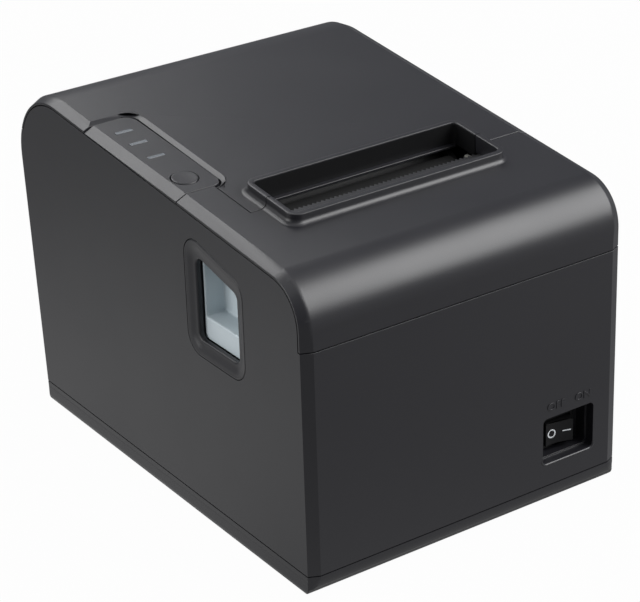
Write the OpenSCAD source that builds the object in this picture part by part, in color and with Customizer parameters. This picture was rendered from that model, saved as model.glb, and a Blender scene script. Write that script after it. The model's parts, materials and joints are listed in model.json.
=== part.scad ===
// Desktop receipt printer for 80 mm paper rolls.
// Front faces -Y, up is +Z, millimetres. The feet stand on Z = 0.

/* [Case] */
// Width of the case across its side walls
body_w = 145; // [145:1:152]
// Depth of the case at the base seam
base_d = 197.5; // [197:0.5:202]
// Height of the base tray from its underside to its seam
tray_h = 10; // [9:0.5:11]
// Rounding along the lower side edges of the base tray
tray_r = 7.6; // [7:0.2:8]
// Height of the top face above the base seam, measured at the front face
front_rise = 115.8; // [115.5:0.1:116.5]
// Slope of the top face, rise per millimetre towards the rear
top_slope = 0.1; // [0.098:0.001:0.102]
// Radius of the front edge where the front cover rolls over
front_r = 19; // [18:0.5:20]
// Radius of the rear edge where the lid rolls over
rear_r = 30; // [29:0.5:31]
// Thickness of the case walls
wall = 2.6; // [2.4:0.1:2.8]
// Thickness of the lid and front cover shells
cover_t = 3; // [2.8:0.1:3.2]
// Width of the lit corner band, across the case
band_run = 4.4; // [4:0.1:4.8]
// Depth of the lit corner band, into the face
band_drop = 2.1; // [1.9:0.1:2.1]
// Gap at every seam between the outer shells
seam = 0.4; // [0.3:0.1:0.5]

/* [Paper exit] */
// Outer length of the raised paper exit rim
rim_l = 98; // [97:0.5:99]
// Outer depth of the raised paper exit rim
rim_d = 32.5; // [32:0.5:33]
// Height of the rim above the top face
rim_h = 4; // [3.5:0.25:4.5]
// Thickness of the rim wall
rim_t = 2.3; // [2.1:0.1:2.5]
// Distance of the seam between front cover and lid behind the front face
split_u = 56; // [55.8:0.1:56.2]

/* [Roller and head] */
// Width of the platen rubber, the paper width plus its play
platen_l = 82; // [81:0.5:83]
// Radius of the platen rubber
platen_r = 7; // [6.9:0.05:7.05]
// Radius of the steel platen shaft
shaft_r = 2.5; // [2.4:0.05:2.6]
// Radius of the hole for a paper roll in the bucket
bucket_r = 42; // [41:0.5:43]

/* [Controls] */
// Radius of the feed button
feed_r = 5.5; // [5.3:0.1:5.7]
// Travel of the feed button
feed_travel = 0.8; // [0.6:0.1:1]
// Travel of the open lever
lever_travel = 8; // [7:0.5:9]
// Angle that the power rocker tips between OFF and ON
rocker_swing = 20; // [18:1:22]
// Angle that the lid swings open
lid_swing = 90; // [80:5:92]

/* [Hidden] */
$fn = 64;
foot_h = 1.5;
z_seam = foot_h + tray_h;
half_w = body_w / 2;
top_f = z_seam + front_rise;
tilt = atan(top_slope);
rear_lean = 0.057;
lean = atan(rear_lean);
side_in = cover_t;
band_lap = 0.01;

// centre of the front arc and of the rear arc, as [u, z], u from the front face
k_top = sqrt(1 + top_slope * top_slope);
k_rear = sqrt(1 + rear_lean * rear_lean);
arc_f = [front_r, top_f + top_slope * front_r - front_r * k_top];
u_r = (base_d - rear_r * k_rear + rear_lean * (top_f - rear_r * k_top - z_seam))
    / (1 - rear_lean * top_slope);
arc_r = [u_r, top_f + top_slope * u_r - rear_r * k_top];
depth = u_r + rear_r;
mid = depth / 2;

z_front_seam = z_seam + 91.1;
z_rear_seam = z_seam + 113;
front_panel_w = body_w - 2 * band_run;
inner_w = body_w - 2 * wall;

// indicator panel on the left top edge
panel_x = -half_w + 21.4;
panel_u0 = 80.4;
panel_u1 = 146.7;
panel_r = 5;
panel_sink = 0.7;
panel_edge_run = 2;
panel_edge_drop = 0.9;
strip_x = -half_w + 16.6;
light_u = [135.9, 125.1, 112.2];
light_x = -half_w + 11.4;
light_l = 7.7;
light_w = 2;
feed_x = -half_w + 10.7;
feed_u = 91.1;

// paper exit
rim_u = split_u - 0.45;
rim_corner = 4.5;
slot_l = rim_l - 2 * rim_t;
slot_d = rim_d - 2 * rim_t;
slot_front = rim_u - slot_d / 2;
slot_rear = rim_u + slot_d / 2;
flare = 1.3;
flare_h = 0.35;

// window and open lever on the left side
win_u0 = 43.8;
win_u1 = 71;
win_z0 = z_seam + 69.2;
win_z1 = z_seam + 97.2;
win_rise = 6.2;
bezel_w = 5.9;
bezel_t = 1.4;
lever_x = -half_w + 4.2;
lever_floor = z_seam + 78;

// power switch on the front
sw_x0 = 35.5;
sw_x1 = 60.3;
sw_z0 = z_seam + 9.7;
sw_z1 = z_seam + 29.5;
sw_x = 49;
sw_z = z_seam + 17.7;
sw_r = 2;
sw_step = 0.7;
sw_step_u = 4.2;
sw_depth = 9.5;
rocker_l = 12.2;
rocker_h = 9.6;
rocker_u = sw_depth + 1.2;
sw_in_x = rocker_l / 2 + 0.65;
sw_in_z = rocker_h / 2 + 0.25;
sw_out_x = sw_in_x + 0.4;
sw_out_z = sw_in_z + 0.75;

// board and sockets: middle, width and height of each socket
board_z = z_seam + 5;
bay_u = base_d - 14;
sockets = [[-36, 14, 13], [-13, 12, 11], [9, 16, 13.4], [33, 13.4, 13]];

// lid hinge
hinge_r = 1.75;
hinge_pin_r = 0.9;
hinge_u = depth - 3.1;
hinge_z = z_rear_seam - 3.3;
hinge_x = [-56, 56];
knuckle_w = 9;

// platen, head and drive
platen_u = 63.7;
platen_z = z_seam + 108.5;
head_u = platen_u - platen_r - 0.3;
head_half = platen_l / 2 + 1;
frame_x = platen_l / 2 + 9;
frame_t = 1.2;
frame_z0 = z_seam + 72;
frame_z1 = platen_z + 2.6;
gear_x = frame_x + 2.4;
gear_w = 3.4;

// all gears share one tooth size
module_mm = 0.8;
platen_teeth = 18;
idler_teeth = 27;
pinion_teeth = 12;
pinion_turn = 40;
platen_gear_r = platen_teeth * module_mm / 2;
idler_r = idler_teeth * module_mm / 2;
pinion_r = pinion_teeth * module_mm / 2;
idler_u = platen_u;
idler_z = platen_z - platen_gear_r - idler_r;
motor_u = idler_u - (idler_r + pinion_r) * sin(pinion_turn);
motor_z = idler_z - (idler_r + pinion_r) * cos(pinion_turn);
motor_r = 11;

// latch below the roller
latch_u = 48;
latch_z = z_seam + 93.5;
latch_arm = 20;
latch_swing = 14;
hook_t = 1.4;
hook_x = frame_x - 2.9;
arm_x = -frame_x - frame_t - 5;
arm_t = 1.8;
bearing_r = 4;
bearing_x0 = platen_l / 2 + 5;
bearing_x1 = frame_x + frame_t + 0.4;

// the lever ends a little outside the arm of the latch
lever_end = arm_x - 2.1;
lever_in = lever_end - lever_x;

// cutter, measured on the top face: u from the front, h below the face
cutter_x = -frame_x - 5;
cutter_u = 30;
cutter_teeth = 18;
cutter_r = cutter_teeth * module_mm / 2;
cutter_pinion_teeth = 12;
cutter_pinion_r = cutter_pinion_teeth * module_mm / 2;
cutter_pinion_u = cutter_u - cutter_r - cutter_pinion_r;
blade_h = -6;
blade_t = 0.8;
blade_half = platen_l / 2 + 2;
rack_x = -frame_x + 3.7;
bed_front = 12;
tear_t = 0.8;
tear_h = -3.5;
tear_u = 49.8;
tooth_w = 2;
tooth_l = 1.2;

// bucket for the paper roll
bucket_u = 118;
bucket_z = z_seam + 75.5;
bucket_t = 2;
bucket_half = platen_l / 2 + 4;
bucket_rim = 26;

charcoal = [0.2, 0.2, 0.21];
inner_black = [0.12, 0.12, 0.13];
steel = [0.66, 0.67, 0.69];
rubber = [0.07, 0.07, 0.07];
pale = [0.8, 0.83, 0.85];
gear_white = [0.88, 0.87, 0.82];
board_green = [0.1, 0.32, 0.2];
brass = [0.75, 0.6, 0.3];

// ---- shared shapes ----

// moves a shape from the front-face frame to the middle of the case
module place(c) {
    color(c) translate([0, -mid, 0]) children();
}

// extrudes a side view (u, z) across the case from x0 to x1
module across(x0, x1) {
    translate([x0, 0, 0]) rotate([90, 0, 90]) linear_extrude(x1 - x0) children();
}

function rim_pts(d) = [
    [d, z_seam],
    [d, arc_f[1]],
    arc_f,
    [arc_f[0] - (front_r - d) * sin(tilt), arc_f[1] + (front_r - d) * cos(tilt)],
    [arc_r[0] - (rear_r - d) * sin(tilt), arc_r[1] + (rear_r - d) * cos(tilt)],
    arc_r,
    [arc_r[0] + (rear_r - d) * cos(lean), arc_r[1] - (rear_r - d) * sin(lean)],
    [base_d - d * k_rear, z_seam]
];

// side view of the case, moved inwards by d
module profile(d) {
    polygon(rim_pts(d));
    translate(arc_f) circle(front_r - d, $fn = 96);
    translate(arc_r) circle(rear_r - d, $fn = 128);
}

module band_end() {
    beta = atan(band_drop / band_run);
    x0 = half_w - band_run;
    difference() {
        across(x0, half_w) polygon(rim_pts(0));
        translate([x0, 0, top_f]) rotate([tilt, 0, 0]) rotate([0, beta, 0])
            translate([-5, -60, 0]) cube([30, 360, 20]);
        translate([x0, 0, 0]) rotate([0, 0, beta])
            translate([-5, -20, 0]) cube([30, 20, 200]);
        translate([x0 + band_lap, base_d, z_seam]) rotate([-lean, 0, 0]) rotate([0, 0, -beta])
            translate([-5, 0, -20]) cube([30, 20, 200]);
    }
    for (a = [[arc_f, front_r], [arc_r, rear_r]]) {
        translate([x0, a[0][0], a[0][1]]) rotate([0, 90, 0])
            cylinder(h = band_run, r1 = a[1], r2 = a[1] - band_drop, $fn = 128);
    }
}

// the whole outside form above the base seam
module outer_form() {
    across(-half_w + band_run, half_w - band_run) profile(0);
    band_end();
    mirror([1, 0, 0]) band_end();
}

// local frame on the top face at distance u behind the front face
module on_top(u) {
    translate([0, u, top_f + top_slope * u]) rotate([tilt, 0, 0]) children();
}

function top_z(u) = top_f + top_slope * u;

module box(x0, x1, u0, u1, z0, z1) {
    translate([x0, u0, z0]) cube([x1 - x0, u1 - u0, z1 - z0]);
}

module round_rect(l, d, r) {
    square([l - 2 * r, d], center = true);
    square([l, d - 2 * r], center = true);
    for (sx = [-1, 1], sy = [-1, 1]) {
        translate([sx * (l / 2 - r), sy * (d / 2 - r)]) circle(r);
    }
}

function unit(v) = v / norm(v);

// outline through the corners p, counter-clockwise, each corner rounded to radius r
module round_poly(p, r) {
    n = len(p);
    dirs = [for (i = [0 : n - 1]) unit(p[(i + 1) % n] - p[i])];
    out = [for (d = dirs) [d[1], -d[0]]];
    mids = [
        for (i = [0 : n - 1]) let (a = out[(i + n - 1) % n], b = out[i])
            p[i] - (a + b) * r / (1 + a * b)
    ];
    polygon([for (i = [0 : n - 1]) for (k = [(i + n - 1) % n, i]) mids[i] + r * out[k]]);
    for (m = mids) {
        translate(m) circle(r);
    }
}

// plan outline of the indicator panel, grown by g
module panel_plan(g) {
    x1 = panel_x + g;
    translate([-half_w - 5, panel_u0 - g])
        square([x1 + half_w + 5 - panel_r, panel_u1 - panel_u0 + 2 * g]);
    translate([-half_w - 5, panel_u0 - g + panel_r])
        square([x1 + half_w + 5, panel_u1 - panel_u0 + 2 * g - 2 * panel_r]);
    for (u = [panel_u0 - g + panel_r, panel_u1 + g - panel_r]) {
        translate([x1 - panel_r, u]) circle(panel_r);
    }
}

// chamfer on the lid around the indicator panel, as a tool on the top face
module panel_edge() {
    r = panel_r + seam;
    u0 = (panel_u0 + panel_r) / cos(tilt);
    u1 = (panel_u1 + panel_r - 10) / cos(tilt);
    x1 = panel_x - panel_r;
    side = [
        [0, -panel_edge_drop], [r, -panel_edge_drop], [r + panel_edge_run, 0],
        [r + panel_edge_run, 2], [0, 2]
    ];
    on_top(0) {
        for (u = [u0, u1]) {
            translate([x1, u, -panel_edge_drop])
                cylinder(h = panel_edge_drop, r1 = r, r2 = r + panel_edge_run);
            translate([x1, u, 0]) cylinder(h = 2, r = r + panel_edge_run);
        }
        translate([x1, u1, 0]) rotate([90, 0, 0]) linear_extrude(u1 - u0) polygon(side);
        translate([x1, u1, 0]) rotate([90, 0, -90]) mirror([1, 0, 0])
            linear_extrude(40) polygon(side);
    }
}

// plan outline of the front cover, grown by g
module front_plan(g) {
    translate([-half_w - 5, -5]) square([body_w + 10, split_u + g + 5]);
    translate([-half_w - 5, -5]) square([strip_x + g + half_w + 5, panel_u0 + 30]);
}

module tall(z0 = 0, h = 220) {
    translate([0, 0, z0]) linear_extrude(h) children();
}

// the shell that the lid, the front cover and the indicator panel are cut from
module top_shell() {
    difference() {
        outer_form();
        across(-half_w - 1, half_w + 1) profile(cover_t);
        box(-half_w - 1, half_w + 1, -5, depth / 2, 0, z_front_seam + seam / 2);
        box(-half_w - 1, half_w + 1, depth / 2 - 1, depth + 5, 0, z_rear_seam + seam / 2);
    }
}

module rim_solid(grow, h0, h1) {
    on_top(rim_u) translate([0, 0, h0]) linear_extrude(h1 - h0)
        round_rect(rim_l + 2 * grow, rim_d + 2 * grow, rim_corner + grow);
}

module slot_hole() {
    on_top(rim_u) translate([0, 0, -30]) linear_extrude(60) round_rect(slot_l, slot_d, 2);
}

// involute tooth outline about the origin, one tooth centred on angle "phase"
function inv(r, rb) = r <= rb ? 0 : (sqrt(r * r / (rb * rb) - 1) - acos(rb / r) * PI / 180) * 180 / PI;
function tooth_side(r, rp, teeth, play) =
    90 / teeth - play * 90 / (PI * rp) + inv(rp, rp * cos(20)) - inv(r, rp * cos(20));
function gear_pts(teeth, phase, play = 0.12) = let (
    rp = teeth * module_mm / 2,
    r0 = rp - 1.0,
    rb = max(r0 + 0.01, rp * cos(20)),
    r1 = rp + 0.6,
    rs = [r0, rb, rp, (rp + r1) / 2, r1]
) [
    for (i = [0 : teeth - 1]) let (c = phase + i * 360 / teeth)
        for (k = [0 : 9]) let (
            r = k < 5 ? rs[k] : rs[9 - k],
            t = tooth_side(r, rp, teeth, play),
            ang = c + (k < 5 ? -t : t)
        ) [r * cos(ang), r * sin(ang)]
];

module spur(teeth, phase, w, bore) {
    difference() {
        linear_extrude(w) polygon(gear_pts(teeth, phase));
        translate([0, 0, -1]) cylinder(h = w + 2, r = bore);
    }
}

// toothed wheel on an axis across the case
module gear_across(teeth, phase, u, z, bore) {
    translate([gear_x, u, z]) rotate([0, 90, 0]) spur(teeth, phase, gear_w, bore);
}

module rod_across(x0, x1, u, z, r) {
    translate([x0, u, z]) rotate([0, 90, 0]) cylinder(h = x1 - x0, r = r);
}

// helical spring drawn as stacked rings with posts between them
module ring_spring(r, wire, h, turns) {
    for (i = [0 : turns - 1]) {
        translate([0, 0, wire + i * (h - 2 * wire) / (turns - 1)])
            rotate_extrude($fn = 40) translate([r, 0]) circle(wire, $fn = 16);
    }
    for (i = [0 : turns - 2]) {
        rotate([0, 0, i * 180]) translate([r, 0, wire + i * (h - 2 * wire) / (turns - 1)])
            cylinder(h = (h - 2 * wire) / (turns - 1), r = wire * 0.9, $fn = 16);
    }
}

// ---- case ----

module tray_side(d) {
    r_front = tray_h - 0.4;
    r_rear = 5;
    difference() {
        translate([d, foot_h + d]) square([base_d - 2 * d, tray_h - d]);
        translate([-0.01, foot_h - 0.01]) difference() {
            square([r_front + 0.01, r_front + 0.01]);
            translate([r_front + 0.01, r_front + 0.01]) circle(r_front - d, $fn = 96);
        }
        translate([base_d - r_rear, foot_h - 0.01]) difference() {
            square([r_rear + 0.01, r_rear + 0.01]);
            translate([0, r_rear + 0.01]) circle(r_rear - d);
        }
    }
}

// front view of the tray, moved inwards by d, with rounded lower edges
module tray_front(d) {
    r = tray_r - d;
    translate([-half_w + d, foot_h + tray_r]) square([body_w - 2 * d, tray_h + 50]);
    translate([-half_w + tray_r, foot_h + d]) square([body_w - 2 * tray_r, r + 1]);
    for (s = [-1, 1]) {
        translate([s * (half_w - tray_r), foot_h + tray_r]) circle(r, $fn = 96);
    }
}

module along() {
    translate([0, base_d + 5, 0]) rotate([90, 0, 0]) linear_extrude(base_d + 10) children();
}

module corner_cuts(z0, h) {
    beta = atan(band_drop / band_run);
    for (m = [0, 1]) {
        mirror([m, 0, 0]) translate([half_w - band_run, 0, z0]) rotate([0, 0, beta])
            translate([-5, -20, 0]) cube([30, 20, h]);
        mirror([m, 0, 0]) translate([half_w - band_run, base_d, z0]) rotate([0, 0, -beta])
            translate([-5, 0, 0]) cube([30, 20, h]);
    }
}

post_xy = [for (s = [-1, 1], u = [16, base_d - 15.5]) [s * (half_w - 14.5), u]];
foot_xy = [for (s = [-1, 1], u = [26, base_d - 25.5]) [s * (half_w - 16.5), u]];
stand_xy = [for (s = [-1, 1], u = [90, bay_u - 9.5]) [s * 37, u]];

module base_tray() {
    place(charcoal) {
        difference() {
            union() {
                difference() {
                    intersection() {
                        across(-half_w - 1, half_w + 1) tray_side(0);
                        along() tray_front(0);
                    }
                    intersection() {
                        union() {
                            across(-half_w, half_w) tray_side(wall);
                            box(-half_w, half_w, 10, base_d - 8, foot_h + wall, 60);
                        }
                        along() tray_front(wall);
                    }
                }
                for (p = post_xy) {
                    translate([p[0], p[1], foot_h]) cylinder(h = tray_h + seam, r = 5);
                }
                // stands with pegs for the main board
                for (p = stand_xy) {
                    translate([p[0], p[1], foot_h + 1]) cylinder(h = board_z - foot_h - 1, r = 3);
                    translate([p[0], p[1], foot_h + 1]) cylinder(h = board_z - foot_h + 0.4, r = 1.5);
                }
            }
            corner_cuts(foot_h - 1, tray_h + 40);
            for (p = post_xy) {
                translate([p[0], p[1], foot_h - 1]) cylinder(h = tray_h + 5, r = 1.7);
                translate([p[0], p[1], foot_h - 1]) cylinder(h = 4, r = 3.6);
            }
            for (p = foot_xy) {
                translate([p[0], p[1], foot_h - 1]) cylinder(h = 1.8, r = 6.05);
            }
        }
    }
}

module rubber_feet() {
    place(rubber) {
        for (p = foot_xy) {
            translate([p[0], p[1], 0]) cylinder(h = foot_h + 0.8, r = 6);
        }
    }
}

// outline of the lever window, grown by g and more at its sloping top
module window_plan(g) {
    rise = win_rise / (win_u1 - win_u0);
    top = win_z1 + 1.34 * g;
    round_poly([
        [win_u0 - g, win_z0 - g], [win_u1 + g, win_z0 - g],
        [win_u1 + g, top + win_rise + rise * g], [win_u0 - g, top - rise * g]
    ], 3.2 + g * 0.85);
}

// pocket of the power switch between two depths, made smaller by d on every side
module switch_pocket(d, u0, u1) {
    translate([(sw_x0 + sw_x1) / 2, u1, (sw_z0 + sw_z1) / 2]) rotate([90, 0, 0])
        linear_extrude(u1 - u0)
            round_rect(sw_x1 - sw_x0 - 2 * d, sw_z1 - sw_z0 - 2 * d, sw_r - d);
}

module main_case() {
    place(charcoal) {
        difference() {
            union() {
                difference() {
                    intersection() {
                        outer_form();
                        across(-half_w - 1, half_w + 1) {
                            profile(side_in + seam);
                            intersection() {
                                profile(0);
                                union() {
                                    translate([-5, 0]) square([60, z_front_seam - seam / 2]);
                                    translate([150, 0]) square([90, z_rear_seam - seam / 2]);
                                }
                            }
                        }
                    }
                    across(-half_w + wall, half_w - wall) {
                        difference() {
                            translate([-20, -1]) square([300, 250]);
                            difference() {
                                union() {
                                    translate([0, 0]) square([wall, z_front_seam - seam / 2]);
                                    difference() {
                                        translate([150, 0]) square([90, z_rear_seam - seam / 2]);
                                        profile(wall);
                                    }
                                }
                            }
                        }
                    }
                    translate([0, 0, -1]) box(-200, 200, -50, 300, 0, z_seam + seam + 1);
                }
                // pocket walls around the power switch
                box(sw_x0 - 2, sw_x1 + 2, wall - 1, sw_depth + 2, sw_z0 - 2, sw_z1 + 2);
                // socket bay at the rear
                box(-54, 54, bay_u - 2, base_d - 0.5, z_seam + seam, z_seam + 36);
                // guide rails and spring seat of the open lever
                for (u = [40.3, win_u1 + 0.7]) {
                    box(-half_w + 1.5, lever_end - 1, u, u + 1.6, z_seam + 60, z_seam + 110);
                }
                box(-half_w + 1.5, lever_end, 53, 63, z_seam + 43, z_seam + 45);
                // shelf under the indicator board
                on_top(0) translate([-half_w + 1.5, panel_u0 + 0.8, -14])
                    cube([18, panel_u1 - panel_u0 - 1.6, 2]);
                for (u = [panel_u0 + 9, panel_u1 - 9]) {
                    on_top(0) translate([light_x + 4.5, u, -12.5]) {
                        cylinder(h = 2.5, r = 2);
                        cylinder(h = 4.1, r = 0.85);
                    }
                }
                // rests for the lid and the front cover on both side walls
                for (u = [26, 44, 62, 94, 124, 152], s = [-1, 1]) {
                    on_top(u) translate([s * (half_w - 1.6) - 0.7, 0, -cover_t - 1])
                        cube([1.4, 8, 1]);
                }
                // blocks that hold the hinge pins
                for (x = hinge_x, s = [-1, 1]) {
                    box(x + s * 7.4 - 2.4, x + s * 7.4 + 2.4, hinge_u - 2.6, hinge_u + 1.2,
                        hinge_z - 3, z_rear_seam - seam / 2);
                }
                // bosses over the tray posts
                for (p = post_xy) {
                    translate([p[0], p[1], z_seam + seam]) cylinder(h = 10, r = 5);
                    box(min(p[0], sign(p[0]) * (half_w - 1)), max(p[0], sign(p[0]) * (half_w - 1)),
                        p[1] - 1, p[1] + 1, z_seam + seam, z_seam + 10);
                }
            }
            switch_pocket(0, -1, sw_step_u);
            switch_pocket(sw_step, sw_step_u - 0.1, sw_depth);
            box(sw_x - sw_out_x - 0.1, sw_x + sw_out_x + 0.1, sw_depth - 1, sw_depth + 5,
                sw_z - sw_out_z - 0.1, sw_z + sw_out_z + 0.1);
            box(-52, 52, bay_u, base_d + 20, z_seam + 3, z_seam + 34);
            for (k = sockets) {
                box(k[0] - k[1] / 2 - 0.2, k[0] + k[1] / 2 + 0.2, bay_u - 5, bay_u + 1,
                    board_z + 1.4, board_z + 1.8 + k[2]);
            }
            across(-half_w - 1, -half_w + bezel_t) window_plan(bezel_w + 0.15);
            across(-half_w - 1, -half_w + wall + 1) window_plan(1.2);
            for (x = hinge_x) {
                box(x - knuckle_w / 2 - 0.3, x + knuckle_w / 2 + 0.3, hinge_u - 7, depth + 5,
                    hinge_z - 2.6, hinge_z + 20);
                rod_across(x - 10, x + 10, hinge_u, hinge_z, hinge_pin_r);
            }
            for (p = post_xy) {
                translate([p[0], p[1], z_seam - 1]) cylinder(h = 9.5, r = 1.55);
            }
        }
    }
}

module front_cover() {
    place(charcoal) {
        difference() {
            union() {
                intersection() {
                    top_shell();
                    tall() difference() {
                        front_plan(-seam / 2);
                        panel_plan(seam / 2);
                        translate([0, panel_u0]) square([300, 200], center = false);
                    }
                    tall() difference() {
                        translate([-200, -20]) square([400, 20 + panel_u0 - seam]);
                    }
                }
                intersection() {
                    union() {
                        rim_solid(0, -cover_t, rim_h);
                        rim_solid(flare, -2, flare_h);
                    }
                    tall() translate([-100, -50]) square([200, 50 + split_u - seam / 2]);
                }
            }
            slot_hole();
        }
        // ribbed apron from the rim down to the tear blade
        intersection() {
            union() {
                for (i = [0 : 3]) {
                    on_top(slot_front - 0.3 + i * 2.6) translate([-slot_l / 2 - 0.5, 0, -4.4])
                        cube([slot_l + 1, 2.8, 6.6 - 1.9 * i]);
                }
            }
            tall() translate([-100, 0]) square([200, split_u - 3.2]);
        }
    }
}

module lid() {
    place(charcoal) {
        difference() {
            union() {
                intersection() {
                    top_shell();
                    tall() difference() {
                        translate([-200, split_u + seam / 2]) square([400, 300]);
                        translate([-200, 0]) square([200 + strip_x + seam / 2, panel_u0 + 1]);
                        panel_plan(seam);
                    }
                }
                intersection() {
                    union() {
                        rim_solid(0, -cover_t, rim_h);
                        rim_solid(flare, -2, flare_h);
                    }
                    tall() translate([-100, split_u + seam / 2]) square([200, 60]);
                }
                // rear wall of the slot and the ledge at its foot
                on_top(slot_rear) translate([-slot_l / 2, 0, -6]) cube([slot_l, rim_t, 4]);
                on_top(slot_rear) translate([-slot_l / 2, -2.2, -6]) cube([slot_l, 2.4, 1]);
                // hinge knuckles
                for (x = hinge_x) {
                    translate([x - knuckle_w / 2, hinge_u, hinge_z]) rotate([0, 90, 0])
                        cylinder(h = knuckle_w, r = hinge_r);
                    box(x - knuckle_w / 2, x + knuckle_w / 2, hinge_u - 1.2, hinge_u + 1.2,
                        hinge_z, hinge_z + 6);
                }
            }
            difference() {
                slot_hole();
                on_top(slot_rear) translate([-slot_l / 2, -2.2, -6]) cube([slot_l, 2.3, 1]);
            }
            panel_edge();
            for (x = hinge_x) {
                rod_across(x - 10, x + 10, hinge_u, hinge_z, hinge_pin_r + 0.05);
            }
        }
    }
}

module lid_hinge_pins() {
    place(steel) {
        for (x = hinge_x) {
            translate([x - 8, hinge_u, hinge_z]) rotate([0, 90, 0]) cylinder(h = 16, r = hinge_pin_r);
        }
    }
}

module indicator_panel() {
    place(charcoal) {
        difference() {
            union() {
                intersection() {
                    top_shell();
                    // the panel sinks a little towards its rear end
                    on_top(panel_u0) rotate([-atan(panel_sink / (panel_u1 - panel_u0)), 0, 0])
                        translate([0, -panel_u0, 0]) rotate([-tilt, 0, 0])
                            translate([0, 0, -top_f]) outer_form();
                    tall() panel_plan(0);
                }
                for (u = [panel_u0 + 3, panel_u1 - 3]) {
                    on_top(u) translate([light_x + 1, 0, -12]) cylinder(h = 9.5, r = 1.8);
                }
            }
            for (u = light_u) {
                on_top(u) translate([light_x - light_l / 2, -light_w / 2, -20])
                    cube([light_l, light_w, 40]);
            }
            on_top(feed_u) translate([feed_x, 0, -20]) cylinder(h = 40, r = feed_r);
        }
    }
}

module light_pipe(u) {
    place(pale) on_top(u) translate([light_x - light_l / 2 + 0.15, -light_w / 2 + 0.15, -8.4])
        cube([light_l - 0.3, light_w - 0.3, 8]);
}

module light_pipe_rear() { light_pipe(light_u[0]); }
module light_pipe_middle() { light_pipe(light_u[1]); }
module light_pipe_front() { light_pipe(light_u[2]); }

module feed_button() {
    place(charcoal) on_top(feed_u) translate([feed_x, 0, 0]) {
        translate([0, 0, -3.4]) cylinder(h = 3.6, r = feed_r - 0.15);
        translate([0, 0, -5]) cylinder(h = 2, r = 1.5);
    }
}

module feed_spring() {
    place(steel) on_top(feed_u) translate([feed_x, 0, -8.4]) ring_spring(4.6, 0.25, 4.1, 4);
}

module feed_switch() {
    place(inner_black) on_top(feed_u) translate([feed_x, 0, -8.4]) {
        translate([-3, -3, 0]) cube([6, 6, 1.6]);
        cylinder(h = 2.5, r = 1.6);
    }
}

module panel_board() {
    place(board_green) on_top(0) difference() {
        translate([-half_w + 4, panel_u0 + 5.5, -10]) cube([15, panel_u1 - panel_u0 - 11, 1.6]);
        for (u = [panel_u0 + 9, panel_u1 - 9]) {
            translate([light_x + 4.5, u, -11]) cylinder(h = 4, r = 0.9);
        }
    }
}

module lever_bezel() {
    place(charcoal) {
        difference() {
            across(-half_w, -half_w + bezel_t) window_plan(bezel_w);
            across(-half_w - 1, -half_w + bezel_t + 1) window_plan(0);
            for (i = [0 : 3]) {
                across(-half_w - 1, -half_w + 0.3 * (i + 1)) window_plan(bezel_w - 1.2 - 1.1 * i);
            }
        }
    }
}

module open_lever() {
    place(pale) {
        difference() {
            box(lever_x, lever_end, 42.2, win_u1 + 0.4, win_z0 - 0.5, win_z1 + 14.5);
            box(lever_x - 1, lever_end - 1.5, win_u0 - 0.1, win_u1 - 0.8, lever_floor, win_z1 + 20);
        }
        across(lever_end - 0.5, lever_end + 1.7) polygon([
            [40, latch_z - 26], [latch_u - 2.35 - 3.63, latch_z - 26],
            [latch_u - 2.35 + 9.68, latch_z - 4], [40, latch_z - 4]
        ]);
    }
}

module lever_spring() {
    place(steel) translate([lever_x + lever_in / 2, 58, z_seam + 45])
        ring_spring(3, 0.35, win_z0 - 0.6 - z_seam - 45, 9);
}

module latch_shaft() {
    place(steel) rod_across(lever_end + 0.3, frame_x + frame_t + 1, latch_u, latch_z, 2);
}

module latch_hooks() {
    place(gear_white) {
        for (s = [-1, 1]) {
            x0 = s > 0 ? hook_x : -hook_x - hook_t;
            difference() {
                across(x0, x0 + hook_t) {
                    translate([latch_u, latch_z]) circle(4);
                    polygon([
                        [latch_u - 2.4, latch_z + 1], [latch_u + 2.5, latch_z],
                        [platen_u - 5.1, platen_z + 3.5], [platen_u - 0.5, platen_z + 4.4],
                        [platen_u - 0.5, platen_z + 6.2], [platen_u - 7.2, platen_z + 6.2]
                    ]);
                }
                rod_across(x0 - 1, x0 + 3, latch_u, latch_z, 2);
            }
        }
        // arm with its roller, worked by the ramp on the lever
        difference() {
            union() {
                across(arm_x, arm_x + arm_t) {
                    translate([latch_u, latch_z]) circle(3.6);
                    translate([latch_u - 1.2, latch_z - latch_arm]) square([2.4, latch_arm]);
                    translate([latch_u, latch_z - latch_arm]) circle(1.5);
                }
                rod_across(arm_x - 1.8, arm_x + 1.2, latch_u, latch_z - latch_arm, 1.5);
            }
            rod_across(arm_x - 4, arm_x + 6, latch_u, latch_z, 2);
        }
    }
}

// ---- lid inside, roller and drive ----

module lid_liner() {
    place(inner_black) {
        difference() {
            union() {
                intersection() {
                    across(-frame_x + 2, frame_x - 2) difference() {
                        profile(cover_t);
                        profile(cover_t + 2);
                    }
                    box(-60, 60, slot_rear + 3.2, 168, 60, 200);
                }
                // arms that hold the roller
                for (x = [-platen_l / 2 - 4.9, platen_l / 2 + 2.3]) {
                    across(x, x + 2.6) {
                        translate([platen_u, platen_z]) circle(4.2);
                        polygon([
                            [platen_u - 2, platen_z - 3.5], [platen_u + 3.4, platen_z - 4],
                            [platen_u + 17, platen_z + 8.5], [platen_u + 17, platen_z + 11],
                            [platen_u + 9.2, platen_z + 10.2], [platen_u + 9.2, platen_z + 7.4],
                            [platen_u + 2.4, platen_z + 4.1], [platen_u - 2, platen_z + 3.6]
                        ]);
                    }
                }
                // curved paper guide behind the roller
                across(-head_half, head_half) intersection() {
                    translate([platen_u + 22, platen_z - 1]) difference() {
                        circle(14);
                        circle(12.6);
                    }
                    translate([platen_u + 8.2, platen_z - 4]) square([13.8, 40]);
                    profile(cover_t + 0.5);
                }
            }
            rod_across(-60, 60, platen_u, platen_z, shaft_r + 0.05);
        }
    }
}

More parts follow.
